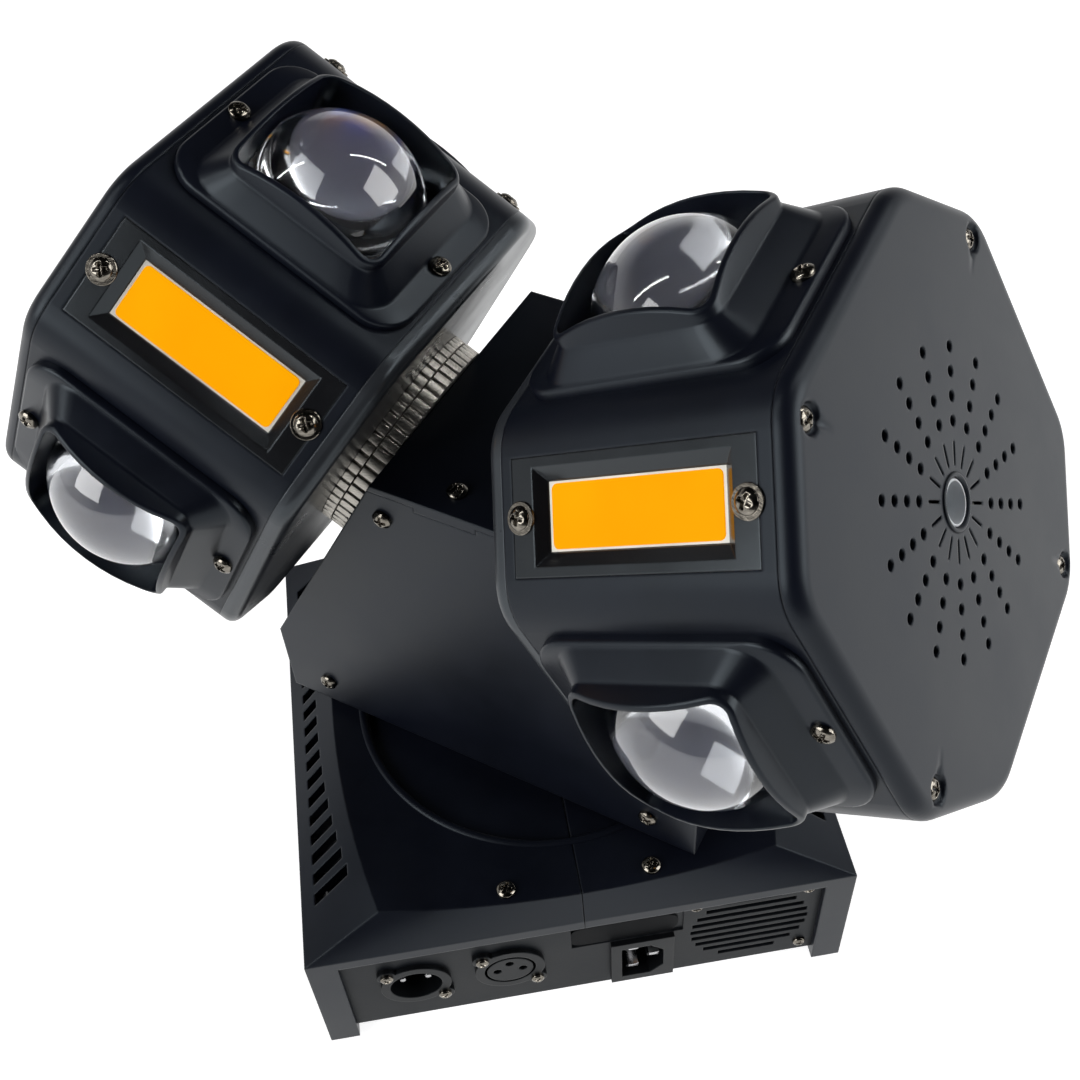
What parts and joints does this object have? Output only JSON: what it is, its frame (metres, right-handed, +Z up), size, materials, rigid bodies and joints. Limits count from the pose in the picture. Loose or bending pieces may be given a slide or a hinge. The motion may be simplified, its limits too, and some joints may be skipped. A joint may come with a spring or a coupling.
{
  "type": "two-head moving stage light",
  "caption": "Stage light with a panning wedge arm on a square base and four-sided lamp heads that spin on slanted axes.",
  "frame": {"origin": "pan axis on the plane that the feet stand on", "axes": "+Z up along the pan axis, +X to the right of the connector panel seen from outside, +Y away from the connector panel"},
  "size_m": [0.3382, 0.3055, 0.3166],
  "materials": {
    "black_shell": "satin moulded black plastic",
    "black_steel": "black powder coat",
    "black_gloss": "glossy black",
    "lens_glass": "clear polished",
    "fin_aluminium": "machined",
    "amber_panel": "amber diffuser over light emitters",
    "screw_steel": "blackened nickel",
    "bright_steel": "bare steel",
    "motor_black": "black with bare end caps",
    "belt_rubber": "matt",
    "board_green": "solder mask",
    "zinc_plate": "zinc plated sheet",
    "display_glass": "dark display window",
    "inlet_black": "moulded black",
    "cap_rim": "grey glossy"
  },
  "bodies": {
    "base": {"base_shell_left": "black_shell", "base_shell_right": "black_shell", "base_chassis": "zinc_plate", "connector_panel": "black_steel", "control_panel": "black_steel", "display_module": "display_glass", "signal_inlet": "inlet_black", "signal_outlet": "inlet_black", "power_inlet": "inlet_black", "fan_frame": "black_gloss", "power_supply": "zinc_plate", "control_board": "board_green", "pan_motor": "motor_black", "pan_belt": "belt_rubber", "pan_bearing": "bright_steel", "base_screws": "screw_steel"},
    "fan": {"fan_rotor": "black_gloss"},
    "pan_drive": {"pan_motor_pulley": "fin_aluminium"},
    "button_up": {"button_1": "black_gloss"},
    "button_down": {"button_2": "black_gloss"},
    "button_menu": {"button_3": "black_gloss"},
    "button_enter": {"button_4": "black_gloss"},
    "arm": {"arm_front_cover": "black_shell", "arm_rear_cover": "black_shell", "arm_lid": "black_shell", "arm_frame": "zinc_plate", "pan_spindle": "fin_aluminium", "arm_screws": "screw_steel", "tilt_bearing_right": "fin_aluminium", "tilt_motor_right": "motor_black", "tilt_belt_right": "belt_rubber", "tilt_bearing_left": "fin_aluminium", "tilt_motor_left": "motor_black", "tilt_belt_left": "belt_rubber"},
    "head_right": {"drum_right": "black_shell", "outer_cap_right": "black_shell", "inner_cap_right": "cap_rim", "fin_collar_right": "fin_aluminium", "head_axle_right": "bright_steel", "head_pulley_right": "fin_aluminium", "lamp_core_right": "fin_aluminium", "head_screws_right": "screw_steel", "lens_hoods_right": "black_shell", "lenses_right": "lens_glass", "strobe_plates_right": "black_gloss", "strobe_panels_right": "amber_panel"},
    "tilt_drive_right": {"tilt_motor_pulley_right": "fin_aluminium"},
    "head_left": {"drum_left": "black_shell", "outer_cap_left": "black_shell", "inner_cap_left": "cap_rim", "fin_collar_left": "fin_aluminium", "head_axle_left": "bright_steel", "head_pulley_left": "fin_aluminium", "lamp_core_left": "fin_aluminium", "head_screws_left": "screw_steel", "lens_hoods_left": "black_shell", "lenses_left": "lens_glass", "strobe_plates_left": "black_gloss", "strobe_panels_left": "amber_panel"},
    "tilt_drive_left": {"tilt_motor_pulley_left": "fin_aluminium"}
  },
  "joints": [
    {"name": "pan", "type": "hinge", "parent": "base", "child": "arm", "pos_m": [0, 0, 0], "axis": [0, 0, 1], "range_deg": [-270, 270]},
    {"name": "spin_right", "type": "hinge", "parent": "arm", "child": "head_right", "pos_m": [0, 0, 0.1685], "axis": [0.6985, -0.5264, 0.4848], "continuous": true},
    {"name": "spin_left", "type": "hinge", "parent": "arm", "child": "head_left", "pos_m": [0, 0, 0.1685], "axis": [-0.6985, 0.5264, 0.4848], "continuous": true},
    {"name": "fan_spin", "type": "hinge", "parent": "base", "child": "fan", "pos_m": [0.0625, -0.085, 0.0355], "axis": [0, -1, 0], "continuous": true},
    {"name": "pan_pulley_spin", "type": "hinge", "parent": "base", "child": "pan_drive", "pos_m": [0, 0.062, 0.05], "axis": [0, 0, 1], "range_deg": [-1215, 1215]},
    {"name": "tilt_pulley_spin_right", "type": "hinge", "parent": "arm", "child": "tilt_drive_right", "pos_m": [0.04326, -0.0326, 0.13678], "axis": [0.6985, -0.5264, 0.4848], "continuous": true},
    {"name": "tilt_pulley_spin_left", "type": "hinge", "parent": "arm", "child": "tilt_drive_left", "pos_m": [-0.04326, 0.0326, 0.13678], "axis": [-0.6985, 0.5264, 0.4848], "continuous": true},
    {"name": "button_up_press", "type": "slide", "parent": "base", "child": "button_up", "axis": [0, -1, 0], "range_m": [0, 0.0008], "stiffness_N_per_m": 400, "springref_m": -0.001},
    {"name": "button_down_press", "type": "slide", "parent": "base", "child": "button_down", "axis": [0, -1, 0], "range_m": [0, 0.0008], "stiffness_N_per_m": 400, "springref_m": -0.001},
    {"name": "button_menu_press", "type": "slide", "parent": "base", "child": "button_menu", "axis": [0, -1, 0], "range_m": [0, 0.0008], "stiffness_N_per_m": 400, "springref_m": -0.001},
    {"name": "button_enter_press", "type": "slide", "parent": "base", "child": "button_enter", "axis": [0, -1, 0], "range_m": [0, 0.0008], "stiffness_N_per_m": 400, "springref_m": -0.001}
  ],
  "couplings": [
    {"joint": "pan_pulley_spin", "follows": "pan", "ratio": 4.5},
    {"joint": "tilt_pulley_spin_right", "follows": "spin_right", "ratio": 3},
    {"joint": "tilt_pulley_spin_left", "follows": "spin_left", "ratio": 3}
  ]
}
